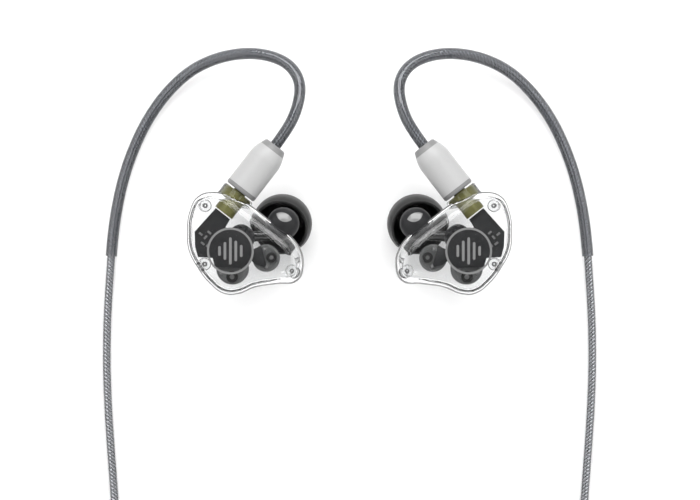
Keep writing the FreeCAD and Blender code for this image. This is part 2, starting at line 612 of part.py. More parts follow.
def trunk_pieces():
    """The trunk cable from the splitter to its coil and from there to the plug."""
    edge = coil_edge(TRUNK_COIL_RADIUS, TRUNK, TRUNK_COLUMNS)
    start = (0, SPLITTER_TOP - SPLITTER_LENGTH + SPLITTER_SEAT, SPLITTER_HEIGHT / 2)
    entry = (TRUNK_COIL.x - edge, TRUNK_COIL.y, TIE_THICKNESS + TRUNK / 2)
    first = route_tube([start] + TRUNK_ROUTE + [entry], TRUNK / 2, "trunk cable")
    leave = (TRUNK_COIL.x + edge, TRUNK_COIL.y, TIE_THICKNESS + TRUNK * (TRUNK_LAYERS - 0.5))
    end = (JACK_X, JACK_START, HANDLE_RADIUS)
    last = route_tube([leave] + PLUG_END_ROUTE + [end], TRUNK / 2, "trunk to plug")
    coil = coil_solid(TRUNK_COIL, TRUNK_COIL_RADIUS, TRUNK, TRUNK_COLUMNS, TRUNK_LAYERS, TIE_THICKNESS)
    return {"trunk_cable": [first, last], "trunk_coil": [coil]}


def coil_ties():
    branch = (BRANCH_COIL_RADIUS, CABLE, BRANCH_COLUMNS, BRANCH_LAYERS)
    left = tie_band(BRANCH_COIL, *branch, 45)
    right = left.mirror(V(0, 0, 0), V(1, 0, 0))
    trunk = tie_band(TRUNK_COIL, TRUNK_COIL_RADIUS, TRUNK, TRUNK_COLUMNS, TRUNK_LAYERS, 80)
    return [left, right, trunk]


def jack():
    """The headphone plug: strain relief, handle, three contacts and the insulators between."""
    start = V(JACK_X, JACK_START, HANDLE_RADIUS)
    relief = turned([(0, 0), (RELIEF_RADII[0], 0), (RELIEF_RADII[1], RELIEF_LENGTH), (0, RELIEF_LENGTH)])
    handle_end = RELIEF_LENGTH + HANDLE_LENGTH
    handle = turned([(0, RELIEF_LENGTH), (HANDLE_RADIUS - 0.6, RELIEF_LENGTH),
                     (HANDLE_RADIUS, RELIEF_LENGTH + 0.8), (HANDLE_RADIUS, handle_end - 0.6),
                     (HANDLE_RADIUS - 0.6, handle_end), (0, handle_end)])
    sleeve_end = handle_end + JACK_SLEEVE_LENGTH
    ring_start = sleeve_end + JACK_GAP
    ring_end = ring_start + JACK_RING_LENGTH
    tip_start = ring_end + JACK_GAP
    tip_end = tip_start + JACK_TIP_LENGTH
    shell = rod(JACK_RADIUS, handle_end, sleeve_end, bore=JACK_CORE_RADIUS)
    ring = rod(JACK_RADIUS, ring_start, ring_end, bore=JACK_CORE_RADIUS)
    tip = turned([(0, handle_end), (JACK_CORE_RADIUS - 0.3, handle_end),
                  (JACK_CORE_RADIUS - 0.3, tip_start), (JACK_RADIUS - 0.2, tip_start),
                  (JACK_RADIUS - 0.6, tip_start + 0.6), (JACK_RADIUS, tip_start + 1.6),
                  (0.6, tip_end), (0, tip_end)])
    spacers = [rod(JACK_RADIUS, sleeve_end, ring_start, bore=JACK_CORE_RADIUS),
               rod(JACK_RADIUS, ring_end, tip_start, bore=JACK_CORE_RADIUS)]
    liner = rod(JACK_CORE_RADIUS, handle_end, tip_start, bore=JACK_CORE_RADIUS - 0.3)
    downwards = V(0, -1, 0)
    return {
        "jack_strain_relief": [stand_along(relief, start, downwards)],
        "jack_handle": [stand_along(handle, start, downwards)],
        "jack_contacts": [stand_along(shape, start, downwards) for shape in (shell, ring, tip)],
        "jack_insulators": [stand_along(spacers[0].fuse([spacers[1], liner]), start, downwards)],
    }


# ---- write every node ------------------------------------------------------------------------
def write(name, shapes):
    shape = shapes[0] if len(shapes) == 1 else Part.makeCompound(shapes)
    for index, solid in enumerate(shape.Solids):
        if not solid.isValid() or solid.Volume <= 0:
            print("BAD SOLID", name, index, solid.Volume)
    shape.exportStep("parts/" + name + ".step")
    box = shape.BoundBox
    sizes = [round(v, 1) for v in (box.XMin, box.XMax, box.YMin, box.YMax, box.ZMin, box.ZMax)]
    print(name, len(shape.Solids), "solids", round(shape.Volume, 1), "mm3", sizes)


os.makedirs("parts", exist_ok=True)
left_side = earpiece()
left_side.update(branch_pieces())
for piece, shapes in left_side.items():
    write("left_" + piece, shapes)
    write("right_" + piece, [shape.mirror(V(0, 0, 0), V(1, 0, 0)) for shape in shapes])
shared = {"cable_splitter": [splitter()], "chin_slider": [chin_slider()], "coil_ties": coil_ties()}
shared.update(trunk_pieces())
shared.update(jack())
for piece, shapes in shared.items():
    write(piece, shapes)
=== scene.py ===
# %% [markdown]
# # In-ear monitors
# A pair of clear-shelled earpieces lies on a pale table, face plates up. Each hangs on a grey
# plug sleeve, and a formed ear guide leads from the sleeve into a cable with a clear jacket and
# twisted silver strands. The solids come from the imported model. This file gives them their looks:
# it keeps the sleeves and the small solids, and remodels the shells, tips, drivers and cables.

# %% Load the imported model
import bmesh
import bpy
import math
from mathutils import Matrix, Vector


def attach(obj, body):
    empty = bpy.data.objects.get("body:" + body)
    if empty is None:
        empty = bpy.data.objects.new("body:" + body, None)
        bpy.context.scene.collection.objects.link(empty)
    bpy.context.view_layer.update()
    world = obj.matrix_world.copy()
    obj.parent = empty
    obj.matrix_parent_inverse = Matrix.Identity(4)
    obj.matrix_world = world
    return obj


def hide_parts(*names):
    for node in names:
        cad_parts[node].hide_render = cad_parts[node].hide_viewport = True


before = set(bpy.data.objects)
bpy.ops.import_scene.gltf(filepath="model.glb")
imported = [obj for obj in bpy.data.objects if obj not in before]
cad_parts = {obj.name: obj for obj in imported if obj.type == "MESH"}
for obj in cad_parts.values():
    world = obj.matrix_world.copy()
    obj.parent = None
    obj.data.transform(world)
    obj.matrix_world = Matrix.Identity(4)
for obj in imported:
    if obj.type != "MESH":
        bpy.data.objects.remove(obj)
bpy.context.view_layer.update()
MM = 0.001

# %% [markdown]
# ## Shader arithmetic
# A finish is a small network of nodes. Writing it as arithmetic keeps it readable: a Wire holds
# one socket, each operator adds one Math node, and `node` adds any other kind of node.


# %% The Wire class
class Wire:
    """One output socket of a material, with arithmetic on it."""

    def __init__(self, tree, socket):
        self.tree = tree
        self.socket = socket

    def node(self, kind, settings=None, inputs=None, output=0):
        """Add a node: settings first, then values or Wires for its sockets, then pick an output."""
        made = self.tree.nodes.new(kind)
        for key, value in (settings or {}).items():
            if key == "stops":
                for index, (place, colour) in enumerate(value):
                    stops = made.color_ramp.elements
                    stop = stops[index] if index < len(stops) else stops.new(place)
                    stop.position = place
                    stop.color = (*colour, 1.0)
            else:
                setattr(made, key, value)
        for key, value in (inputs or {}).items():
            if isinstance(value, Wire):
                self.tree.links.new(value.socket, made.inputs[key])
            else:
                made.inputs[key].default_value = value
        return Wire(self.tree, made.outputs[output])

    def math(self, operation, a, b=0.0):
        return self.node("ShaderNodeMath", {"operation": operation}, {0: a, 1: b})

    def __add__(self, other):
        return self.math("ADD", self, other)

    def __radd__(self, other):
        return self.math("ADD", other, self)

    def __sub__(self, other):
        return self.math("SUBTRACT", self, other)

    def __rsub__(self, other):
        return self.math("SUBTRACT", other, self)

    def __mul__(self, other):
        return self.math("MULTIPLY", self, other)

    def __rmul__(self, other):
        return self.math("MULTIPLY", other, self)

    def above(self, level):
        return self.math("GREATER_THAN", self, level)

    def mix(self, low, high):
        """A colour that goes from low to high as this value goes from 0 to 1."""
        return self.node("ShaderNodeMix", {"data_type": "RGBA"}, {0: self, 6: low, 7: high}, 2)


# %% [markdown]
# ## A finish
# Every finish is one Principled shader. Numbers that are the same all over sit on its own
# sockets, and what varies is wired in. Patterns read object coordinates in metres, so a grain
# size is written as how many times it repeats in a metre.


# %% Start a finish
SHADE = 0.76               # darkens every grey, to suit the strength of the lamps
GRAIN_DEPTH = 0.0001


def rgb(level, tint=(1.0, 1.0, 1.0)):
    """A grey of that level, tinted."""
    return tuple(level * SHADE * part for part in tint)


def start_finish(name, colour, roughness, **constants):
    """A node material with one Principled shader; returns it, its shader and a place Wire."""
    finish = bpy.data.materials.new(name)
    finish.use_nodes = True
    tree = finish.node_tree
    shader = tree.nodes["Principled BSDF"]
    shader.inputs["Base Color"].default_value = (*colour, 1.0)
    shader.inputs["Roughness"].default_value = roughness
    for socket, value in constants.items():
        shader.inputs[socket.replace("_", " ")].default_value = value
    place = Wire(tree, tree.nodes.new("ShaderNodeTexCoord").outputs["Object"])
    return finish, shader, place


def wire_to(shader, socket, wire):
    wire.tree.links.new(wire.socket, shader.inputs[socket])


def noise(place, scale):
    return place.node("ShaderNodeTexNoise", None,
                      {"Vector": place, "Scale": scale, "Detail": 3.0, "Roughness": 0.5})


def rough_and_bumpy(shader, place, scale, rough_low, rough_high, bump):
    """Uneven gloss and a fine surface grain, as moulding leaves them."""
    grain = noise(place, scale)
    wire_to(shader, "Roughness", grain * (rough_high - rough_low) + rough_low)
    normal = place.node("ShaderNodeBump", None,
                        {"Strength": bump, "Distance": GRAIN_DEPTH, "Height": grain})
    wire_to(shader, "Normal", normal)
    return grain


# %% [markdown]
# ## Clear finishes
# Clear plastic bends what is seen through it. Rays that look for a lamp are let straight through
# it, because a real clear shell throws almost no shadow on a pale table.


# %% Let lamp light through a clear finish
def let_light_through(finish, shader, place):
    tree = place.tree
    clear = place.node("ShaderNodeBsdfTransparent", None, {"Color": (0.97, 0.97, 0.97, 1.0)})
    shadow = place.node("ShaderNodeLightPath", output="Is Shadow Ray")
    body = Wire(tree, shader.outputs["BSDF"])
    mixed = place.node("ShaderNodeMixShader", None, {0: shadow, 1: body, 2: clear})
    tree.links.new(mixed.socket, tree.nodes["Material Output"].inputs["Surface"])


def clear_finish(name, colour, ior, rough_low, rough_high, scale, bump):
    finish, shader, place = start_finish(name, colour, rough_low, Transmission_Weight=1.0, IOR=ior)
    rough_and_bumpy(shader, place, scale, rough_low, rough_high, bump)
    let_light_through(finish, shader, place)
    return finish


# %% [markdown]
# ## Opaque finishes
# Metals, rubbers and moulded plastics differ in colour, gloss and grain. One function makes them
# all, because none of them has a pattern of its own. A name says the material, and each finish is
# made once and shared by every piece of that material.

# %% Finishes shared by many pieces
def plain_finish(name, colour, rough_low, rough_high, scale, bump, shade=0.06, **constants):
    """An opaque finish whose colour, gloss and grain all vary a little."""
    finish, shader, place = start_finish(name, colour, rough_low, **constants)
    grain = rough_and_bumpy(shader, place, scale, rough_low, rough_high, bump)
    darker = (*[part * (1 - shade) for part in colour], 1.0)
    lighter = (*[min(1.0, part * (1 + shade)) for part in colour], 1.0)
    wire_to(shader, "Base Color", grain.mix(darker, lighter))
    return finish


CLEAR_SHELL = clear_finish("clear shell plastic", (0.975, 0.978, 0.98), 1.48, 0.0, 0.02, 300, 0.03)
EMBLEM_INK = plain_finish("emblem ink", rgb(0.22), 0.35, 0.5, 4000, 0.1)
SOCKET_METAL = plain_finish("olive plated brass", (0.092, 0.089, 0.024), 0.3, 0.5, 2500, 0.2, 0.3,
                            Metallic=0.35)
GOLD = plain_finish("gold plating", (0.75, 0.55, 0.2), 0.15, 0.3, 3000, 0.05, Metallic=1.0)
INSULATOR = plain_finish("white insulator", rgb(0.75), 0.4, 0.5, 2000, 0.05)
BOARD = plain_finish("black board", rgb(0.009, (1, 1.02, 1.15)), 0.45, 0.6, 1500, 0.1,
                     Specular_IOR_Level=0.3)
CHIPS = plain_finish("tinned chips", rgb(0.17), 0.3, 0.5, 4000, 0.3, Metallic=0.4)
DRIVER = plain_finish("driver case", rgb(0.09, (1, 1.02, 1.02)), 0.3, 0.45, 1200, 0.1,
                      Specular_IOR_Level=0.4)
HIGH = plain_finish("high driver case", rgb(0.02, (1, 1, 1.05)), 0.2, 0.35, 1200, 0.1)
HUB = plain_finish("driver hub", rgb(0.012), 0.3, 0.4, 1200, 0.1, Specular_IOR_Level=0.3)
SPOT = plain_finish("hub centre", rgb(0.075), 0.3, 0.45, 1200, 0.1)
SOUND_TUBE = plain_finish("sound tube", rgb(0.02), 0.15, 0.3, 1200, 0.1)
SCREEN = plain_finish("nozzle screen", rgb(0.03), 0.4, 0.6, 5000, 0.3, Metallic=0.5)
TIP = plain_finish("black silicone", rgb(0.009), 0.36, 0.48, 900, 0.06, Specular_IOR_Level=0.4)
COLLAR = plain_finish("mid grey collar", rgb(0.27), 0.35, 0.48, 1500, 0.06, 0.02)
SEAM = plain_finish("glue seam", rgb(0.2), 0.3, 0.45, 3000, 0.05)
SPRING = plain_finish("spring brass", (0.6, 0.45, 0.18), 0.2, 0.35, 3000, 0.05, Metallic=1.0)
TIE = plain_finish("strap fabric", rgb(0.02), 0.7, 0.9, 4000, 0.8, 0.3)
RELIEF = plain_finish("strain relief rubber", rgb(0.02), 0.45, 0.6, 1500, 0.1)
HANDLE = plain_finish("anodised handle", rgb(0.18), 0.28, 0.4, 1800, 0.08, Metallic=0.9)
SPLITTER = plain_finish("splitter plastic", rgb(0.45), 0.35, 0.48, 1500, 0.06, 0.02)
STRANDS = plain_finish("silver strands", rgb(0.46, (0.98, 0.99, 1.02)), 0.12, 0.18, 6000, 0.1,
                       Metallic=0.95)
# Painted shade: a dark core for the middle of each cable, which darkens the gaps between the strands.
GAP_SHADE_CORE = plain_finish("dark cable core", rgb(0.03), 0.5, 0.7, 3000, 0.1)
JACKET = clear_finish("clear cable jacket", (0.76, 0.77, 0.79), 1.4, 0.01, 0.04, 1500, 0.02)
GUIDE = clear_finish("grey guide tube", (0.6, 0.61, 0.635), 1.4, 0.03, 0.08, 1500, 0.03)


# %% [markdown]
# ## The nozzle's finish
# The nozzle's shoulder is a smoky bulb with one painted highlight, pointed at both ends like a
# leaf: a pale patch of colour where the top lamp's reflection falls, with a real glossy coat on it.
# Where two circles overlap is just such a shape, so two distances decide what is highlight.
# Taking the size of each coordinate without its sign serves both earpieces with one finish.

# %% The nozzle's finish
BULB = Vector((-14.1, -10.85, 15.0))
BULB_RADIUS = 3.42
BULB_HEIGHT = 2.6
# Two circles whose overlap is the painted highlight on the nozzle's shoulder.
HIGHLIGHT_ARCS = ((14.46, 10.94, 2.43), (13.58, 8.63, 1.92))    # middle x and y, and radius
SMOKE_TINT = (1, 1, 1.1)


def nozzle_finish():
    """Smoky plastic with one painted highlight, a pale glossy patch where two circles overlap."""
    finish, shader, place = start_finish("smoky nozzle", rgb(0.03), 0.4, Specular_IOR_Level=0.25)
    grain = rough_and_bumpy(shader, place, 900, 0.4, 0.5, 0.02)
    folded = place.node("ShaderNodeVectorMath", {"operation": "ABSOLUTE"}, {0: place})
    flat = place.node("ShaderNodeVectorMath", {"operation": "MULTIPLY"},
                      {0: folded, 1: (1.0, 1.0, 0.0)})
    painted_highlight = 1.0
    for x, y, radius in HIGHLIGHT_ARCS:
        reach = place.node("ShaderNodeVectorMath", {"operation": "DISTANCE"},
                           {0: flat, 1: (x * MM, y * MM, 0.0)}, 1)
        painted_highlight = painted_highlight * (1.0 - reach.above(radius * MM))
    smoke = grain.mix((*rgb(0.015, SMOKE_TINT), 1.0), (*rgb(0.02, SMOKE_TINT), 1.0))
    # Painted highlight: a pale colour inside the overlap stands in for the lamp's reflection; the coat there
    # adds real gloss.
    wire_to(shader, "Base Color", painted_highlight.mix(smoke, (*rgb(0.26), 1.0)))
    wire_to(shader, "Coat Weight", painted_highlight)
    return finish


NOZZLE = nozzle_finish()


# %% [markdown]
# ## The sleeve's finish
# The plug sleeve is light grey, and mid grey over a narrow band at the end that meets the earpiece.
# The colour changes at a height along the plug's own axis.

# %% The sleeve's finish
PLUG_TILT = math.radians(37.7)
AXIS = Vector((math.sin(PLUG_TILT), math.cos(PLUG_TILT), 0))
EMBLEM = Vector((-25.2, -16.7, 0))                       # the middle of the left face plate
MOUTH = EMBLEM + Vector((1.73, 12.38, 14.0))             # where the plug goes in
SLEEVE_GAP = 0.3
RIM_HEIGHT = 0.95


def sleeve_finish(name, side):
    """Light grey plastic with a mid grey rim at the end that meets the earpiece."""
    finish, shader, place = start_finish(name, rgb(0.6), 0.4)
    grain = rough_and_bumpy(shader, place, 1500, 0.36, 0.48, 0.05)
    axis = (side * AXIS.x, AXIS.y, 0.0)
    mouth = Vector((side * MOUTH.x, MOUTH.y, 0))
    start = mouth.dot(Vector(axis)) * MM
    along = place.node("ShaderNodeVectorMath", {"operation": "DOT_PRODUCT"}, {0: place, 1: axis}, 1)
    above_rim = along.above(start + (SLEEVE_GAP + RIM_HEIGHT) * MM)
    body = grain.mix((*rgb(0.52), 1.0), (*rgb(0.55), 1.0))
    wire_to(shader, "Base Color", above_rim.mix((*rgb(0.23), 1.0), body))
    return finish


SLEEVES = {"left": sleeve_finish("left sleeve plastic", 1),
           "right": sleeve_finish("right sleeve plastic", -1)}
print("finishes", len(bpy.data.materials))

# %% [markdown]
# ## Dress the solids
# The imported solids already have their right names, so a table from a piece's kind to its finish
# dresses both sides. Solids that are remodelled below are dressed too, and are hidden later.

# %% Give every solid its finish
FINISH_OF = {
    "inner_shell": CLEAR_SHELL, "outer_cover": CLEAR_SHELL, "shell_pins": CLEAR_SHELL,
    "emblem": EMBLEM_INK, "socket_body": SOCKET_METAL, "socket_insulator": INSULATOR,
    "socket_contact": GOLD, "crossover_board": BOARD, "board_components": CHIPS,
    "low_driver": DRIVER, "mid_driver": DRIVER, "high_driver": DRIVER, "sound_tube": SOUND_TUBE,
    "nozzle_screen": SCREEN, "ear_tip": TIP, "sleeve_collar": COLLAR,
    "plug_barrel": SOCKET_METAL, "plug_insulator": INSULATOR, "plug_pin": GOLD, "snap_ring": SPRING,
    "ear_guide": GUIDE, "branch_cable": GUIDE, "branch_coil": GUIDE, "cable_splitter": SPLITTER,
    "chin_slider": SPLITTER, "coil_ties": TIE, "trunk_cable": GUIDE, "trunk_coil": GUIDE,
    "jack_strain_relief": RELIEF, "jack_handle": HANDLE, "jack_contacts": GOLD,
    "jack_insulators": BOARD,
}
for name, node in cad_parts.items():
    kind = name.replace("left_", "").replace("right_", "")
    finish = SLEEVES[name.split("_")[0]] if kind == "plug_sleeve" else FINISH_OF[kind]
    node.data.materials.clear()
    node.data.materials.append(finish)

# %% [markdown]
# ## Camera
# The camera looks straight down from almost a metre, so the pair shows nearly without perspective.
# Its focal length follows from the width that it has to see at the connectors' height.

# %% Camera, straight above the earpieces
CAMERA_HEIGHT = 0.914
CAMERA_Y = -0.0165
FIELD_WIDTH = 0.14894      # what the camera sees at the connectors' height
CONNECTOR_HEIGHT = 0.014
SENSOR = 36.0
lens = SENSOR * (CAMERA_HEIGHT - CONNECTOR_HEIGHT) / FIELD_WIDTH
camera_data = bpy.data.cameras.new("camera")
camera_data.sensor_width = SENSOR
camera_data.lens = lens
camera = bpy.data.objects.new("camera", camera_data)
camera.location = (0.0001, CAMERA_Y, CAMERA_HEIGHT)
bpy.context.scene.collection.objects.link(camera)
bpy.context.scene.camera = camera

# %% [markdown]
# ## Cables
# Each cable is one smooth curve through listed points, and the spare length is wound into a
# coil whose turns a loop works out. Inside the clear jacket run four silver strands that twist
# round each other.


# %% Routes, in millimetres
BRANCH = 1.77 * MM
TRUNK = 2.35 * MM
GUIDE_WIDTH = 2.5 * MM
TIE_THICKNESS = 0.5
BRANCH_START = [(-17.56, 3.35, 14.0)]
BRANCH_ROUTE = [(-13.2, 9.0, 14.0), (-10.95, 14.0, 13.4), (-10.3, 19.2, 11.8),
                (-12.8, 23.3, 9.8), (-17.6, 25.4, 7.8), (-23.2, 25.8, 6.0), (-29.0, 24.7, 4.4),
                (-34.6, 22.0, 3.1), (-39.6, 17.3, 2.2), (-43.7, 11.5, 1.6), (-46.7, 5.2, 1.25),
                (-48.8, -1.0, 1.18), (-50.2, -7.3, 1.18), (-51.1, -13.6, 1.18),
                (-51.7, -21.6, 0.98), (-52.3, -31.0, 0.9), (-52.45, -41.0, 0.9),
                (-52.1, -51.0, 0.9), (-51.4, -61.0, 0.9), (-50.6, -71.5, 0.9)]
BRANCH_LOWER_ROUTE = [(-32.6, -93.6, 2.0), (-25.5, -93.0, 1.1), (-17.6, -92.2, 0.9),
                      (-9.8, -92.6, 0.95), (-4.5, -96.2, 1.3), (-2.0, -101.8, 1.8),
                      (-1.65, -105.8, 1.92), (-1.45, -108.0, 1.98), (-1.4, -108.6, 2.0),
                      (-1.3, -116.8, 2.0), (-1.35, -125.0, 2.0)]
TRUNK_ROUTE = [(0.0, -135.0, 2.0), (-0.1, -141.6, 2.0), (0.1, -148.2, 1.8)]
PLUG_END_ROUTE = [(31.8, -150.6, 8.2), (31.9, -145.6, 6.8), (31.9, -139.5, 4.9),
                  (31.9, -130.0, 3.9), (31.9, -119.0, 3.8), (33.9, -113.0, 3.8),
                  (38.95, -110.9, 3.8), (44.0, -113.0, 3.8), (46.0, -118.0, 3.8)]
POINTS_PER_TURN = 16


# %% Wind a neat coil
def coil_points(centre, radius, diameter, columns, turns_in_layer):
    """Turns wound inwards, then outwards a layer up, from the coil's left side, counter-clockwise."""
    outer = radius + (columns - 1) * diameter / 2
    inner = radius - (columns - 1) * diameter / 2
    floor = TIE_THICKNESS + diameter / 2
    points = []
    angle = math.pi
    for layer, turns in enumerate(turns_in_layer):
        start, end = (outer, inner) if layer % 2 == 0 else (inner, outer)
        steps = round(turns * POINTS_PER_TURN)
        for step in range(steps):
            share = step / steps
            here = start + (end - start) * share
            rise = min(1.0, step / 4) if layer else 1.0
            z = floor + (layer - 1 + rise) * diameter if layer else floor
            points.append((centre[0] + here * math.cos(angle), centre[1] + here * math.sin(angle), z))
            angle += 2 * math.pi / POINTS_PER_TURN
    return points


def mirrored(points):
    return [(-x, y, z) for x, y, z in points]


def cord_curve(name, points, width):
    """A smooth tube whose control points are given in millimetres."""
    data = bpy.data.curves.new(name, "CURVE")
    data.dimensions = "3D"
    spline = data.splines.new("NURBS")
    spline.points.add(len(points) - 1)
    for place, point in zip(spline.points, points):
        place.co = (point[0] * MM, point[1] * MM, point[2] * MM, 1.0)
    spline.order_u = 3
    spline.use_endpoint_u = True
    spline.resolution_u = 6
    data.bevel_depth = width / 2
    data.bevel_resolution = 3
    data.use_fill_caps = True
    piece = bpy.data.objects.new(name, data)
    bpy.context.scene.collection.objects.link(piece)
    return piece


def curve_points(data):
    """The points that Blender draws a bare curve through."""
    probe = bpy.data.objects.new("probe", data)
    bpy.context.scene.collection.objects.link(probe)
    depsgraph = bpy.context.evaluated_depsgraph_get()
    mesh = bpy.data.meshes.new_from_object(probe.evaluated_get(depsgraph))
    points = [vertex.co.copy() for vertex in mesh.vertices]
    bpy.data.objects.remove(probe)
    bpy.data.meshes.remove(mesh)
    return points


def centreline(piece):
    """Points along a cord's own line, read from its curve with the tube taken off."""
    bare = piece.data.copy()
    bare.bevel_depth = 0
    return curve_points(bare)


def path_length(points):
    return sum((b - a).length for a, b in zip(points, points[1:]))


branch_points = (BRANCH_START + BRANCH_ROUTE
                 + coil_points((-39.6, -82.5), 9.75, 1.77, 2, (1.75, 1.5)) + BRANCH_LOWER_ROUTE)
trunk_points = (TRUNK_ROUTE + coil_points((15.85, -156.0), 13.5, 2.35, 3, (3, 3, 3, 2.5))
                + PLUG_END_ROUTE)
left_branch = cord_curve("left_cable_jacket", branch_points, BRANCH)
right_branch = cord_curve("right_cable_jacket", mirrored(branch_points), BRANCH)
trunk = cord_curve("trunk_cable_jacket", trunk_points, TRUNK)
for piece in (left_branch, right_branch, trunk):
    piece.data.materials.append(JACKET)
    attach(piece, "cable")
    print(piece.name, round(path_length(centreline(piece)), 4), "m")
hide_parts("left_branch_cable", "left_branch_coil")
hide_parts("right_branch_cable", "right_branch_coil")
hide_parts("trunk_cable", "trunk_coil")

# %% [markdown]
# ## What the cables are
# A cable of the real object lies where it falls. Here the lengths of a branch and of the trunk are
# measured along their own lines.

BRANCH_LENGTH = round(path_length(centreline(left_branch)), 3)
TRUNK_LENGTH = round(path_length(centreline(trunk)), 3)
for piece, points in ((left_branch, branch_points), (right_branch, mirrored(branch_points))):
    tuple(part * MM for part in points[0])

# %% [markdown]
# ## Twisted strands
# Four strands wind round the middle of each jacket. They are tubes of their own, so the light
# catches each one where it turns up, which gives the bright slanting dashes of such a cable.
# A dark core down the middle is painted shade: it darkens the gaps between the strands.


# %% Twist strands along a cord
STRANDS_IN_CABLE = 4
STEPS_PER_LAY = 12
STRAND_RADIUS = 0.2        # a strand's radius and its distance from the middle,
STRAND_REACH = 0.27        # both as shares of the cable's width


def even_points(points, step):
    """Points a fixed distance apart along a line of points."""
    made = [points[0]]
    left = step
    for a, b in zip(points, points[1:]):
        run = (b - a).length
        while left <= run:
            made.append(a.lerp(b, left / run))
            left += step
        left -= run
    return made


def frames_along(line, step):
    """Evenly spaced points of a line, each with two directions square to the line."""
    points = even_points(line, step)
    side = (points[1] - points[0]).orthogonal().normalized()
    frames = []
    for index, point in enumerate(points):
        ahead = points[min(index + 1, len(points) - 1)]
        behind = points[max(index - 1, 0)]
        way = (ahead - behind).normalized()
        side = (side - way * side.dot(way)).normalized()
        frames.append((point, side.copy(), way.cross(side)))
    return frames


def wound_tubes(name, frames, radius, reach, count, fineness, hand, finish):
    """Thin tubes wound round a line, each a fixed reach away from it."""
    data = bpy.data.curves.new(name, "CURVE")
    data.dimensions = "3D"
    data.bevel_depth = radius
    data.bevel_resolution = fineness
    for number in range(count):
        spline = data.splines.new("POLY")
        spline.points.add(len(frames) - 1)
        for index, (point, across, up) in enumerate(frames):
            turn = hand * 2 * math.pi * (index / STEPS_PER_LAY + number / count)
            place = point + (across * math.cos(turn) + up * math.sin(turn)) * reach
            spline.points[index].co = (*place, 1.0)
        spline.use_smooth = True
    piece = bpy.data.objects.new(name, data)
    bpy.context.scene.collection.objects.link(piece)
    piece.data.materials.append(finish)
    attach(piece, "cable")


for name, cord, width, lay, fineness, hand in (
        ("left_cable", left_branch, BRANCH, 3.2 * MM, 2, -1),
        ("right_cable", right_branch, BRANCH, 3.2 * MM, 2, 1),
        ("trunk_cable", trunk, TRUNK, 4.5 * MM, 1, 1)):
    frames = frames_along(centreline(cord), lay / STEPS_PER_LAY)
    wound_tubes(f"{name}_strands", frames, width * STRAND_RADIUS, width * STRAND_REACH,
                STRANDS_IN_CABLE, fineness, hand, STRANDS)
    # The dark core is painted shade for the gaps between the strands.
    wound_tubes(f"{name}_core", frames, width * STRAND_RADIUS, 0.0, 1, fineness, hand, GAP_SHADE_CORE)
    print(name, STRANDS_IN_CABLE, "strands,", len(frames), "points each")

# %% [markdown]
# ## Shaping tools
# Round parts are a profile spun about an axis. Shells are lofts: smooth loops at several heights,
# bridged one to the next. Each shape is made for the left side and mirrored for the right.


# %% Spin a profile
SPIN_STEPS = 72
MERGE = 0.002 * MM


def spin_profile(shape, profile, point, way, steps=SPIN_STEPS):
    """Spin (radius, height) corners round an axis; only what this profile reaches is then placed."""
    corners = [shape.verts.new((radius * MM, 0, height * MM)) for radius, height in profile]
    edges = [shape.edges.new(pair) for pair in zip(corners, corners[1:])]
    bmesh.ops.spin(shape, geom=corners + edges, cent=(0, 0, 0), axis=(0, 0, 1),
                   angle=2 * math.pi, steps=steps, use_merge=True)
    reached = set(corners)
    to_visit = list(corners)
    while to_visit:
        vertex = to_visit.pop()
        for edge in vertex.link_edges:
            other = edge.other_vert(vertex)
            if other not in reached:
                reached.add(other)
                to_visit.append(other)
    turn = way.to_track_quat("Z", "Y").to_matrix().to_4x4()
    bmesh.ops.transform(shape, matrix=Matrix.Translation(point * MM) @ turn, verts=list(reached))
    bmesh.ops.remove_doubles(shape, verts=list(reached), dist=MERGE)


def arc_profile(centre, radius, start, end, steps):
    """Points of an arc in a profile, angles in degrees."""
    angles = [math.radians(start + (end - start) * step / steps) for step in range(steps + 1)]
    return [(centre[0] + radius * math.cos(a), centre[1] + radius * math.sin(a)) for a in angles]


def finish_shape(shape):
    """Close a shape: merge doubles and point its faces outwards."""
    bmesh.ops.remove_doubles(shape, verts=shape.verts, dist=MERGE)
    bmesh.ops.recalc_face_normals(shape, faces=shape.faces)


def to_object(name, shape, angle=35):
    """A linked object from a shape, smooth except at edges sharper than the angle."""
    mesh = bpy.data.meshes.new(name)
    shape.to_mesh(mesh)
    piece = bpy.data.objects.new(name, mesh)
    bpy.context.scene.collection.objects.link(piece)
    mesh.shade_smooth()
    mesh.set_sharp_from_angle(angle=math.radians(angle))
    return piece


def mirror_shape(shape):
    """The same shape on the other side of the middle plane."""
    other = shape.copy()
    bmesh.ops.scale(other, vec=(-1, 1, 1), verts=other.verts)
    bmesh.ops.reverse_faces(other, faces=other.faces)
    return other


def make_pair(name, shape, finish, body, nodes=(), angle=35):
    """Left and right pieces from the left shape."""
    for side, form in (("left", shape), ("right", mirror_shape(shape))):
        piece = to_object(f"{side}_{name}", form, angle)
        piece.data.materials.append(finish)
        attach(piece, f"{side}_{body}")
        if nodes:
            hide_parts(*[f"{side}_{node}" for node in nodes])
        form.free()
    print(name, "faces", len(piece.data.polygons))


# %% [markdown]
# ## Ear guides
# The guide is a grey tube formed round the cable. It follows the cable's own line from the sleeve
# to where it ends beside the wearer's neck.


# %% Ear guides
GUIDE_LENGTH = 0.0918


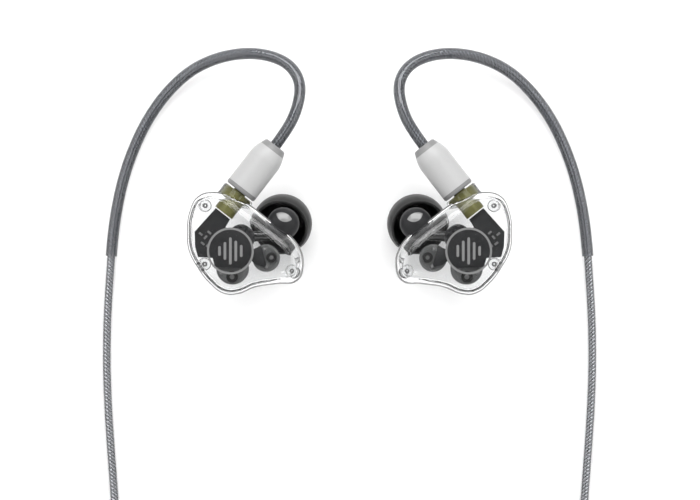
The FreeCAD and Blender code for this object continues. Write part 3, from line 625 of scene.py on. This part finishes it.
def guide_curve(name, line):
    """A tube along the first part of a cable's own line."""
    points = [line[0]]
    length = 0.0
    for a, b in zip(line, line[1:]):
        length += (b - a).length
        if length > GUIDE_LENGTH:
            break
        points.append(b)
    data = bpy.data.curves.new(name, "CURVE")
    data.dimensions = "3D"
    spline = data.splines.new("POLY")
    spline.points.add(len(points) - 1)
    for place, point in zip(spline.points, points):
        place.co = (*point, 1.0)
    spline.use_smooth = True
    data.bevel_depth = GUIDE_WIDTH / 2
    data.bevel_resolution = 6
    piece = bpy.data.objects.new(name, data)
    bpy.context.scene.collection.objects.link(piece)
    piece.data.materials.append(GUIDE)
    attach(piece, "cable")
    return piece


for side, cord in (("left", left_branch), ("right", right_branch)):
    guide = guide_curve(f"{side}_guide_tube", centreline(cord))
    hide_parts(f"{side}_ear_guide")

# %% [markdown]
# ## Ear tips
# The tip is a soft silicone dome. Its skirt hangs open towards the shell, and a core inside it
# grips the nozzle. One closed profile, spun once, makes both walls, the rim and the core.

# %% Ear tips
NOZZLE_END = EMBLEM + Vector((11.5, 7.4, 1.62))
NOZZLE_WAY = Vector((0.14, 0.30, -0.944)).normalized()


def smooth_line(points, closed):
    """A smooth flat line through a few points, read from a curve."""
    data = bpy.data.curves.new("line", "CURVE")
    spline = data.splines.new("BEZIER")
    spline.bezier_points.add(len(points) - 1)
    for knot, (x, y) in zip(spline.bezier_points, points):
        knot.co = (x, y, 0)
        knot.handle_left_type = knot.handle_right_type = "AUTO"
    spline.use_cyclic_u = closed
    spline.resolution_u = 6
    return curve_points(data)


def smooth_profile(points):
    return [(point.x, point.y) for point in smooth_line(points, False)]


def ear_tip_shape():
    dome = smooth_profile([(5.95, -8.0), (6.36, -6.6), (6.42, -5.3), (6.07, -3.2), (5.1, -1.1),
                           (3.8, 0.3), (2.7, 0.82), (2.0, 0.9)])
    mouth = [(1.85, 0.75), (1.8, 0.4), (1.8, 0.05), (2.25, 0.05)]
    core = [(2.25, -6.6), (2.35, -6.8), (2.9, -6.8), (3.0, -6.7)]
    inside = smooth_profile([(3.0, -1.7), (3.9, -1.55), (4.9, -2.5), (5.45, -3.9), (5.72, -5.5),
                             (5.6, -6.9), (5.3, -7.9)])
    rim = [(5.36, -8.0), (5.5, -8.08), (5.75, -8.1)]
    shape = bmesh.new()
    profile = dome + mouth + core + inside + rim
    spin_profile(shape, profile + profile[:1], NOZZLE_END, NOZZLE_WAY, 96)
    finish_shape(shape)
    return shape


make_pair("silicone_tip", ear_tip_shape(), TIP, "tip", ["ear_tip"])

# %% [markdown]
# ## Shells
# Each shell is a loft between smooth plan outlines. The ear side curves in below its widest line
# like a pebble; the cover rises from the parting line to a flat face. Loops worked out from one
# outline keep the two shells in step all round, which hand-placed faces would not.

# %% Outlines
WALL = 0.6
RIM_WALL = 0.28
SHELL_BOTTOM = 9.5
WAIST_Z = 14.2
PARTING_Z = 16.5
FACE_Z = 19.5
PARTING_STEP = 0.3
FLOOR_INSET = 2.4
SHELL_OUTLINE = [(-9.4, 3.2), (-8.9, 8.2), (-7.0, 11.7), (-3.0, 12.6), (1.4, 11.4), (4.6, 9.5),
                 (8.4, 6.6), (12.0, 4.0), (14.6, 1.0), (15.5, -3.0), (14.2, -6.4), (9.8, -7.1),
                 (5.2, -7.8), (1.6, -9.2), (-1.4, -9.2), (-4.8, -6.7), (-7.4, -3.2), (-9.0, 0.0)]
FACE_OUTLINE = [(-8.5, 3.2), (-8.1, 7.8), (-6.4, 10.7), (-3.0, 11.3), (-0.4, 9.8), (1.8, 7.3),
                (4.8, 4.9), (8.0, 2.3), (11.6, 0.2), (14.0, -2.6), (12.8, -5.2), (9.3, -6.0),
                (4.9, -6.9), (1.4, -8.3), (-1.3, -8.2), (-4.2, -6.0), (-6.6, -2.8), (-8.1, 0.2)]


def inset_loop(loop, inset):
    """The same loop moved inwards, square to itself."""
    moved = []
    for index, here in enumerate(loop):
        along = (loop[(index + 1) % len(loop)] - loop[index - 1]).normalized()
        moved.append(here + Vector((along.y, -along.x, 0)) * inset)
    return moved


def outline_corners(shape, outline, height):
    """Vertices for the points of a plan outline, which are counted from the face plate's middle."""
    return [shape.verts.new(((EMBLEM.x + x) * MM, (EMBLEM.y + y) * MM, height * MM))
            for x, y, *_ in outline]


def outline_ring(shape, outline, height):
    corners = outline_corners(shape, outline, height)
    return [shape.edges.new(pair) for pair in zip(corners, corners[1:] + corners[:1])]


def loft_shape(levels):
    """Bridge closed loops at several heights and cap both ends."""
    shape = bmesh.new()
    rings = [outline_ring(shape, loop, height) for loop, height in levels]
    for lower, upper in zip(rings, rings[1:]):
        bmesh.ops.bridge_loops(shape, edges=lower + upper)
    for ring in (rings[0], rings[-1]):
        bmesh.ops.contextual_create(shape, geom=ring)
    finish_shape(shape)
    return shape


widest = smooth_line(SHELL_OUTLINE, True)
flat_face = smooth_line(FACE_OUTLINE, True)
print("outline points", len(widest), len(flat_face))

# %% [markdown]
# A big flat cap next to a rounding takes some of the rounding's smooth shading, which shows in
# clear plastic as a false veil of light. One more loop just short of the cap keeps it flat.

# %% Rounded lofts
LAST_LOOP = math.radians(87.5)


def quarter_turn(steps):
    """Angles from 0 to 90 degrees, with one more just short of the end."""
    return [math.pi / 2 * step / steps for step in range(steps)] + [LAST_LOOP, math.pi / 2]


def ear_side(extra, floor, top, rim_extra=0.0, steps=12):
    """Loops of the ear side shell from its parting line to its floor."""
    halfway = inset_loop(widest, PARTING_STEP * 0.35 + (extra + rim_extra) / 2)
    levels = [(inset_loop(widest, PARTING_STEP + rim_extra), top), (halfway, (PARTING_Z + WAIST_Z) / 2)]
    for angle in quarter_turn(steps):
        z = WAIST_Z - (WAIST_Z - floor) * math.sin(angle)
        levels.append((inset_loop(widest, FLOOR_INSET * (1 - math.cos(angle)) + extra), z))
    return loft_shape(levels)


def face_side(extra, bottom, top, steps=8):
    """Loops of the cover from its parting line to its flat face."""
    levels = []
    for angle in quarter_turn(steps):
        share = 1 - math.cos(angle)
        outer = inset_loop(widest, PARTING_STEP * (1 - share))
        loop = [a.lerp(b, share) for a, b in zip(outer, flat_face)]
        levels.append((inset_loop(loop, extra), bottom + (top - bottom) * math.sin(angle)))
    return loft_shape(levels)


# %% [markdown]
# ## Hollow shells
# A real shell is moulded hollow. Here a solid outside has a slightly smaller solid cut out of it,
# so the wall is even and both of its faces are clean, which clear plastic needs. The connector
# neck is joined on before the cut. The nozzle, the posts, their pins and the bead of glue between
# the shells are pieces of their own, because each has its own finish or stands inside.

# %% Join and cut
def combine(base, operation, tool):
    """Apply one solid to another with a Boolean modifier; both are bmesh shapes, base is renewed."""
    base_object = to_object("base", base)
    tool_object = to_object("tool", tool)
    boolean = base_object.modifiers.new("combine", "BOOLEAN")
    boolean.operation = operation
    boolean.object = tool_object
    boolean.solver = "EXACT"
    evaluated = base_object.evaluated_get(bpy.context.evaluated_depsgraph_get())
    mesh = bpy.data.meshes.new_from_object(evaluated)
    result = bmesh.new()
    result.from_mesh(mesh)
    for piece in (base_object, tool_object):
        bpy.data.objects.remove(piece)
    base.free()
    tool.free()
    return result


def rod_shape(radius, start, end, point, way):
    shape = bmesh.new()
    spin_profile(shape, [(0, start), (radius, start), (radius, end), (0, end)], point, way)
    finish_shape(shape)
    return shape


UP = Vector((0, 0, 1))
NECK_RADIUS = 3.7
BOSSES = [(-5.4, 9.6), (-5.5, -2.8), (13.0, -4.25)]


def inner_shell_shape():
    """The ear side with its connector neck, hollow and open at the parting line."""
    shell = ear_side(0, SHELL_BOTTOM, PARTING_Z)
    neck = bmesh.new()
    spin_profile(neck, [(0, -3.6), (NECK_RADIUS, -3.6), (NECK_RADIUS, -0.25), (NECK_RADIUS - 0.25, 0),
                        (0, 0)], MOUTH, AXIS)
    finish_shape(neck)
    shell = combine(shell, "UNION", neck)
    shell = combine(shell, "DIFFERENCE", ear_side(WALL, SHELL_BOTTOM + WALL, PARTING_Z + 0.1, RIM_WALL))
    return combine(shell, "DIFFERENCE", face_side(WALL, PARTING_Z - 0.1, FACE_Z - WALL))


def outer_cover_shape():
    """The face plate side, hollow, and cut out round the connector neck."""
    cover = face_side(0, PARTING_Z, FACE_Z)
    cover = combine(cover, "DIFFERENCE", face_side(WALL, PARTING_Z - 0.1, FACE_Z - WALL))
    return combine(cover, "DIFFERENCE", rod_shape(NECK_RADIUS + 0.03, -6, 3, MOUTH, AXIS))


def seam_shape(inset=0.2, radius=0.1, sides=8):
    """The thin bead of glue along the parting line, which stops where the connector neck stands."""
    seam = bmesh.new()
    rings = []
    for side in range(sides):
        angle = 2 * math.pi * side / sides
        loop = inset_loop(widest, inset + radius * math.cos(angle))
        rings.append(outline_ring(seam, loop, PARTING_Z + radius * math.sin(angle)))
    for lower, upper in zip(rings, rings[1:] + rings[:1]):
        bmesh.ops.bridge_loops(seam, edges=lower + upper)
    finish_shape(seam)
    return combine(seam, "DIFFERENCE", rod_shape(NECK_RADIUS + 0.1, -12, 3, MOUTH, AXIS))


def posts_shape():
    """Clear tapered posts, each with a hole down its middle for an alignment pin."""
    posts = bmesh.new()
    for x, y in BOSSES:
        spin_profile(posts, [(0.6, 11.6), (1.1, 11.6), (1.2, 11.8), (1.36, 18.45), (1.26, 18.6), (0.6, 18.6),
                             (0.6, 11.6)], EMBLEM + Vector((x, y, 0)), UP, 40)
    finish_shape(posts)
    return posts


def pins_shape():
    """The alignment pins in the posts, each drilled down its middle."""
    pins = bmesh.new()
    for x, y in BOSSES:
        spin_profile(pins, [(0.22, 14.0), (0.45, 14.0), (0.52, 14.1), (0.52, 17.9), (0.45, 18.0),
                            (0.28, 18.0), (0.22, 17.9), (0.22, 14.0)],
                     EMBLEM + Vector((x, y, 0)), UP, 32)
    finish_shape(pins)
    return pins


def nozzle_shape():
    """The nozzle: a rounded shoulder under the shell, then a spout with a groove behind its lip."""
    profile = [(0, -7.4), (2.2, -7.4), (2.2, -2.9), (2.0, -2.8), (2.0, -1.0), (2.2, -0.9), (2.2, -0.1),
               (2.1, 0), (1.35, 0), (1.35, -6.0), (0, -6.0)]
    shape = bmesh.new()
    spin_profile(shape, profile, NOZZLE_END, NOZZLE_WAY)
    half_round = [(radius, height * BULB_HEIGHT / BULB_RADIUS)
                  for radius, height in arc_profile((0, 0), BULB_RADIUS, -90, 90, 32)]
    spin_profile(shape, half_round, BULB, UP)
    foot = NOZZLE_END - NOZZLE_WAY * 7
    shoulder = [(0, 0), (3.4, 0), (3.36, 1.5), (3.2, 3.2), (2.95, 5.0), (2.8, 6.4), (2.6, 6.8), (0, 6.8)]
    spin_profile(shape, shoulder, BULB, (foot - BULB).normalized())
    finish_shape(shape)
    return shape


make_pair("clear_inner_shell", inner_shell_shape(), CLEAR_SHELL, "earpiece",
          ["inner_shell"], 30)
make_pair("smoky_nozzle", nozzle_shape(), NOZZLE, "earpiece")
make_pair("glue_seam", seam_shape(), SEAM, "earpiece")
make_pair("alignment_pins", pins_shape(), CHIPS, "earpiece")
make_pair("clear_posts", posts_shape(), CLEAR_SHELL, "earpiece", ["shell_pins"])
make_pair("clear_cover", outer_cover_shape(), CLEAR_SHELL, "earpiece", ["outer_cover"], 30)

# %% [markdown]
# ## Drivers
# A driver is a short metal can. A raised hub with a lighter centre stands on each of the two that
# show, and the mid driver carries a black terminal strip.


# %% Drivers
def can_profile(radius, floor, top, edge=0.25):
    return ([(0, floor), (radius - edge, floor), (radius, floor + edge)]
            + arc_profile((radius - edge, top - edge), edge, 0, 90, 4)
            + [(radius - 0.7, top), (radius - 0.8, top - 0.08), (0, top - 0.08)])


def can_shape(spot, floor=11.8, top=14.4):
    shape = bmesh.new()
    point = EMBLEM + Vector((spot[0], spot[1], 0))
    spin_profile(shape, can_profile(spot[2], floor, top), point, UP)
    finish_shape(shape)
    return shape


def hub_shape(spot, profile):
    shape = bmesh.new()
    spin_profile(shape, profile, EMBLEM + Vector((spot[0], spot[1], 0)), UP, 48)
    finish_shape(shape)
    return shape


def hub_pieces(name, spot):
    x, y, radius = spot
    wall = [(0, 14.3), (radius, 14.3), (radius, 14.9), (radius - 0.12, 15.0), (radius * 0.72, 15.0),
            (radius * 0.66, 14.85), (0, 14.85)]
    centre = [(0, 14.8), (radius * 0.42, 14.8), (radius * 0.42, 14.93), (radius * 0.34, 14.98), (0, 14.98)]
    make_pair(name + "_hub", hub_shape(spot, wall), HUB, "earpiece")
    make_pair(name + "_hub_centre", hub_shape(spot, centre), SPOT, "earpiece")


make_pair("low_driver_can", can_shape((0.3, -3.7, 3.45)), DRIVER, "earpiece", ["low_driver"])
make_pair("mid_driver_can", can_shape((7.45, -1.5, 2.95)), DRIVER, "earpiece", ["mid_driver"])
make_pair("high_driver_can", can_shape((2.2, 2.85, 2.85)), HIGH, "earpiece", ["high_driver"])
hub_pieces("low_driver", (0.25, -5.5, 1.25))
hub_pieces("mid_driver", (8.6, -1.4, 1.1))

# %% Terminal strip
STRIP_OUTLINE = [(4.5, 0.3), (6.4, 1.1), (6.9, -0.6), (7.6, -3.5), (5.5, -3.0), (4.4, -2.2)]


def plate_shape(outline, floor, top, edge=0.06):
    """A flat plate of a given outline with softened edges."""
    shape = bmesh.new()
    face = shape.faces.new(outline_corners(shape, outline, floor))
    raised = bmesh.ops.extrude_face_region(shape, geom=[face])
    lifted = [item for item in raised["geom"] if isinstance(item, bmesh.types.BMVert)]
    bmesh.ops.translate(shape, vec=(0, 0, (top - floor) * MM), verts=lifted)
    bmesh.ops.bevel(shape, geom=shape.edges[:], offset=edge * MM, offset_type="OFFSET", affect="EDGES",
                    segments=2, profile=0.5, material=-1)
    finish_shape(shape)
    return shape


make_pair("terminal_strip", plate_shape(STRIP_OUTLINE, 14.35, 14.75), BOARD, "earpiece")

# %% [markdown]
# ## Table
# The table is a pale sheet. It is lit so brightly that the shadows on it almost wash out.


# %% Table
def build_table():
    mesh = bpy.data.meshes.new("table")
    shape = bmesh.new()
    bmesh.ops.create_grid(shape, x_segments=2, y_segments=2, size=3.0)
    shape.to_mesh(mesh)
    shape.free()
    table = bpy.data.objects.new("table", mesh)
    bpy.context.scene.collection.objects.link(table)
    table.data.materials.append(plain_finish("pale table", (0.93, 0.93, 0.93), 0.5, 0.6, 40, 0.0, 0.005))


build_table()

# %% [markdown]
# ## Lamps
# Four large soft lamps stand round the camera, outside its view. The one beyond the top is the
# strongest, which gives each rounded part a light upper side. The background is brightest near
# the horizon, so clear edges find something bright to bend.


# %% Lamps
def soft_lamp(name, place, size, power):
    """A rectangular lamp aimed at the middle of the view."""
    data = bpy.data.lights.new(name, "AREA")
    data.shape = "RECTANGLE"
    data.size, data.size_y = size
    data.energy = power
    lamp = bpy.data.objects.new(name, data)
    lamp.location = place
    aim = Vector((0, CAMERA_Y, 0)) - Vector(place)
    lamp.rotation_euler = aim.to_track_quat("-Z", "Y").to_euler()
    bpy.context.scene.collection.objects.link(lamp)


LAMP_POWER = 5.5
soft_lamp("left lamp", (-0.66, 0.05, 0.68), (0.8, 1.1), LAMP_POWER * 0.7)
soft_lamp("right lamp", (0.66, 0.05, 0.68), (0.8, 1.1), LAMP_POWER * 0.7)
soft_lamp("top lamp", (0.0, 0.64, 0.68), (1.0, 0.6), LAMP_POWER * 1.7)
soft_lamp("bottom lamp", (0.0, -0.68, 0.68), (1.1, 0.6), LAMP_POWER * 0.6)

# %% Background
HORIZON, OVERHEAD = 0.7, 0.07
world = bpy.data.worlds.new("studio")
bpy.context.scene.world = world
world.use_nodes = True
sky = Wire(world.node_tree, world.node_tree.nodes.new("ShaderNodeTexCoord").outputs["Generated"])
height = sky.node("ShaderNodeSeparateXYZ", None, {0: sky}, 2)
glow = height.node("ShaderNodeMapRange", None, {"Value": height, "From Min": 0.35, "From Max": 0.8,
                                                "To Min": HORIZON, "To Max": OVERHEAD})
wire_to(world.node_tree.nodes["Background"], "Strength", glow)
world.node_tree.nodes["Background"].inputs["Color"].default_value = (1.0, 1.0, 1.0, 1.0)
bpy.context.scene.view_settings.view_transform = "Standard"
